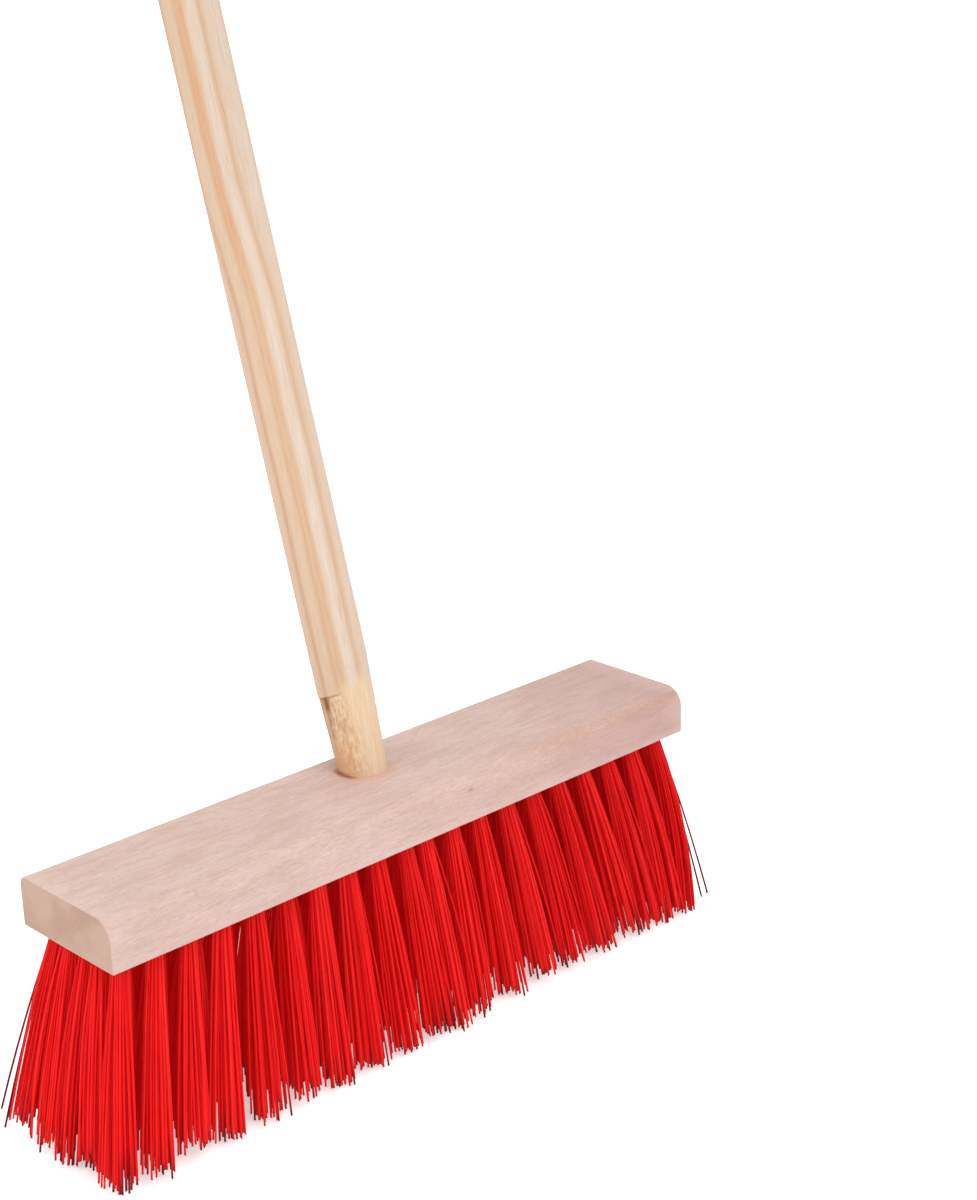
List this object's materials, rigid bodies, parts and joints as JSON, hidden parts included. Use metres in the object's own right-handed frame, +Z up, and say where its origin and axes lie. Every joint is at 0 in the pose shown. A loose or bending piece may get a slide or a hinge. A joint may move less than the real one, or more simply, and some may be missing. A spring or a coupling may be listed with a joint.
{
  "type": "push broom",
  "caption": "Wooden push broom: a flat beech head block with a rounded front edge, rows of red synthetic bristles below it, and a tapered pine stick leaning back from an angled socket.",
  "frame": {"origin": "centre of the sweeping plane: on the floor, at the bristle tips, below the middle of the head block", "axes": "+Z up, from the bristle tips towards the head block; +X along the head block; -Y is the front of the head, with the rounded edge, and the stick leans back towards +Y"},
  "size_m": [0.3988, 0.4391, 1.461],
  "materials": {
    "beech_block": "satin",
    "pine_handle": "satin",
    "bristle_filament": "satin"
  },
  "bodies": {
    "head": {"head_block": "beech_block"},
    "stick": {"handle": "pine_handle"},
    "bristle_row_1": {"front_tuft_01": "bristle_filament", "front_tuft_02": "bristle_filament", "front_tuft_03": "bristle_filament", "front_tuft_04": "bristle_filament", "front_tuft_05": "bristle_filament", "front_tuft_06": "bristle_filament", "front_tuft_07": "bristle_filament", "front_tuft_08": "bristle_filament", "front_tuft_09": "bristle_filament", "front_tuft_10": "bristle_filament", "front_tuft_11": "bristle_filament", "front_tuft_12": "bristle_filament", "front_tuft_13": "bristle_filament", "front_tuft_14": "bristle_filament", "front_tuft_15": "bristle_filament", "front_tuft_16": "bristle_filament", "front_tuft_17": "bristle_filament", "front_tuft_18": "bristle_filament", "front_tuft_19": "bristle_filament", "front_tuft_20": "bristle_filament"},
    "bristle_row_2": {"inner_row_2_left": "bristle_filament", "inner_row_2_left_end": "bristle_filament", "inner_row_2_middle": "bristle_filament", "inner_row_2_right": "bristle_filament", "inner_row_2_right_end": "bristle_filament"},
    "bristle_row_3": {"inner_row_3_left_end": "bristle_filament", "inner_row_3_left_inner": "bristle_filament", "inner_row_3_left_middle": "bristle_filament", "inner_row_3_right_end": "bristle_filament", "inner_row_3_right_inner": "bristle_filament", "inner_row_3_right_middle": "bristle_filament"},
    "bristle_row_4": {"inner_row_4_left_end": "bristle_filament", "inner_row_4_left_inner": "bristle_filament", "inner_row_4_left_middle": "bristle_filament", "inner_row_4_right_end": "bristle_filament", "inner_row_4_right_inner": "bristle_filament", "inner_row_4_right_middle": "bristle_filament"},
    "bristle_row_5": {"back_tuft_01": "bristle_filament", "back_tuft_02": "bristle_filament", "back_tuft_03": "bristle_filament", "back_tuft_04": "bristle_filament", "back_tuft_05": "bristle_filament", "back_tuft_06": "bristle_filament", "back_tuft_07": "bristle_filament", "back_tuft_08": "bristle_filament", "back_tuft_09": "bristle_filament", "back_tuft_10": "bristle_filament", "back_tuft_11": "bristle_filament", "back_tuft_12": "bristle_filament", "back_tuft_13": "bristle_filament", "back_tuft_14": "bristle_filament", "back_tuft_15": "bristle_filament", "back_tuft_16": "bristle_filament", "back_tuft_17": "bristle_filament", "back_tuft_18": "bristle_filament", "back_tuft_19": "bristle_filament", "back_tuft_20": "bristle_filament"}
  },
  "joints": [
    {"name": "handle_pull_out", "type": "slide", "parent": "head", "child": "stick", "axis": [0, 0.2672, 0.9636], "range_m": [0, 0.06]},
    {"name": "bristle_flex_row_1", "type": "hinge", "parent": "head", "child": "bristle_row_1", "pos_m": [0, -0.0225, 0.1], "axis": [1, 0, 0], "range_deg": [-15, 15], "stiffness_Nm_per_rad": 2, "deforming": ["front_tuft_01", "front_tuft_02", "front_tuft_03", "front_tuft_04", "front_tuft_05", "front_tuft_06", "front_tuft_07", "front_tuft_08", "front_tuft_09", "front_tuft_10", "front_tuft_11", "front_tuft_12", "front_tuft_13", "front_tuft_14", "front_tuft_15", "front_tuft_16", "front_tuft_17", "front_tuft_18", "front_tuft_19", "front_tuft_20"]},
    {"name": "bristle_flex_row_2", "type": "hinge", "parent": "head", "child": "bristle_row_2", "pos_m": [0, -0.01125, 0.1], "axis": [1, 0, 0], "range_deg": [-15, 15], "stiffness_Nm_per_rad": 2, "deforming": ["inner_row_2_left", "inner_row_2_left_end", "inner_row_2_middle", "inner_row_2_right", "inner_row_2_right_end"]},
    {"name": "bristle_flex_row_3", "type": "hinge", "parent": "head", "child": "bristle_row_3", "pos_m": [0, 0, 0.1], "axis": [1, 0, 0], "range_deg": [-15, 15], "stiffness_Nm_per_rad": 2, "deforming": ["inner_row_3_left_end", "inner_row_3_left_inner", "inner_row_3_left_middle", "inner_row_3_right_end", "inner_row_3_right_inner", "inner_row_3_right_middle"]},
    {"name": "bristle_flex_row_4", "type": "hinge", "parent": "head", "child": "bristle_row_4", "pos_m": [0, 0.01125, 0.1], "axis": [1, 0, 0], "range_deg": [-15, 15], "stiffness_Nm_per_rad": 2, "deforming": ["inner_row_4_left_end", "inner_row_4_left_inner", "inner_row_4_left_middle", "inner_row_4_right_end", "inner_row_4_right_inner", "inner_row_4_right_middle"]},
    {"name": "bristle_flex_row_5", "type": "hinge", "parent": "head", "child": "bristle_row_5", "pos_m": [0, 0.0225, 0.1], "axis": [1, 0, 0], "range_deg": [-15, 15], "stiffness_Nm_per_rad": 2, "deforming": ["back_tuft_01", "back_tuft_02", "back_tuft_03", "back_tuft_04", "back_tuft_05", "back_tuft_06", "back_tuft_07", "back_tuft_08", "back_tuft_09", "back_tuft_10", "back_tuft_11", "back_tuft_12", "back_tuft_13", "back_tuft_14", "back_tuft_15", "back_tuft_16", "back_tuft_17", "back_tuft_18", "back_tuft_19", "back_tuft_20"]}
  ],
  "couplings": [
    {"joint": "bristle_flex_row_2", "follows": "bristle_flex_row_1", "ratio": 1},
    {"joint": "bristle_flex_row_3", "follows": "bristle_flex_row_1", "ratio": 1},
    {"joint": "bristle_flex_row_4", "follows": "bristle_flex_row_1", "ratio": 1},
    {"joint": "bristle_flex_row_5", "follows": "bristle_flex_row_1", "ratio": 1}
  ]
}
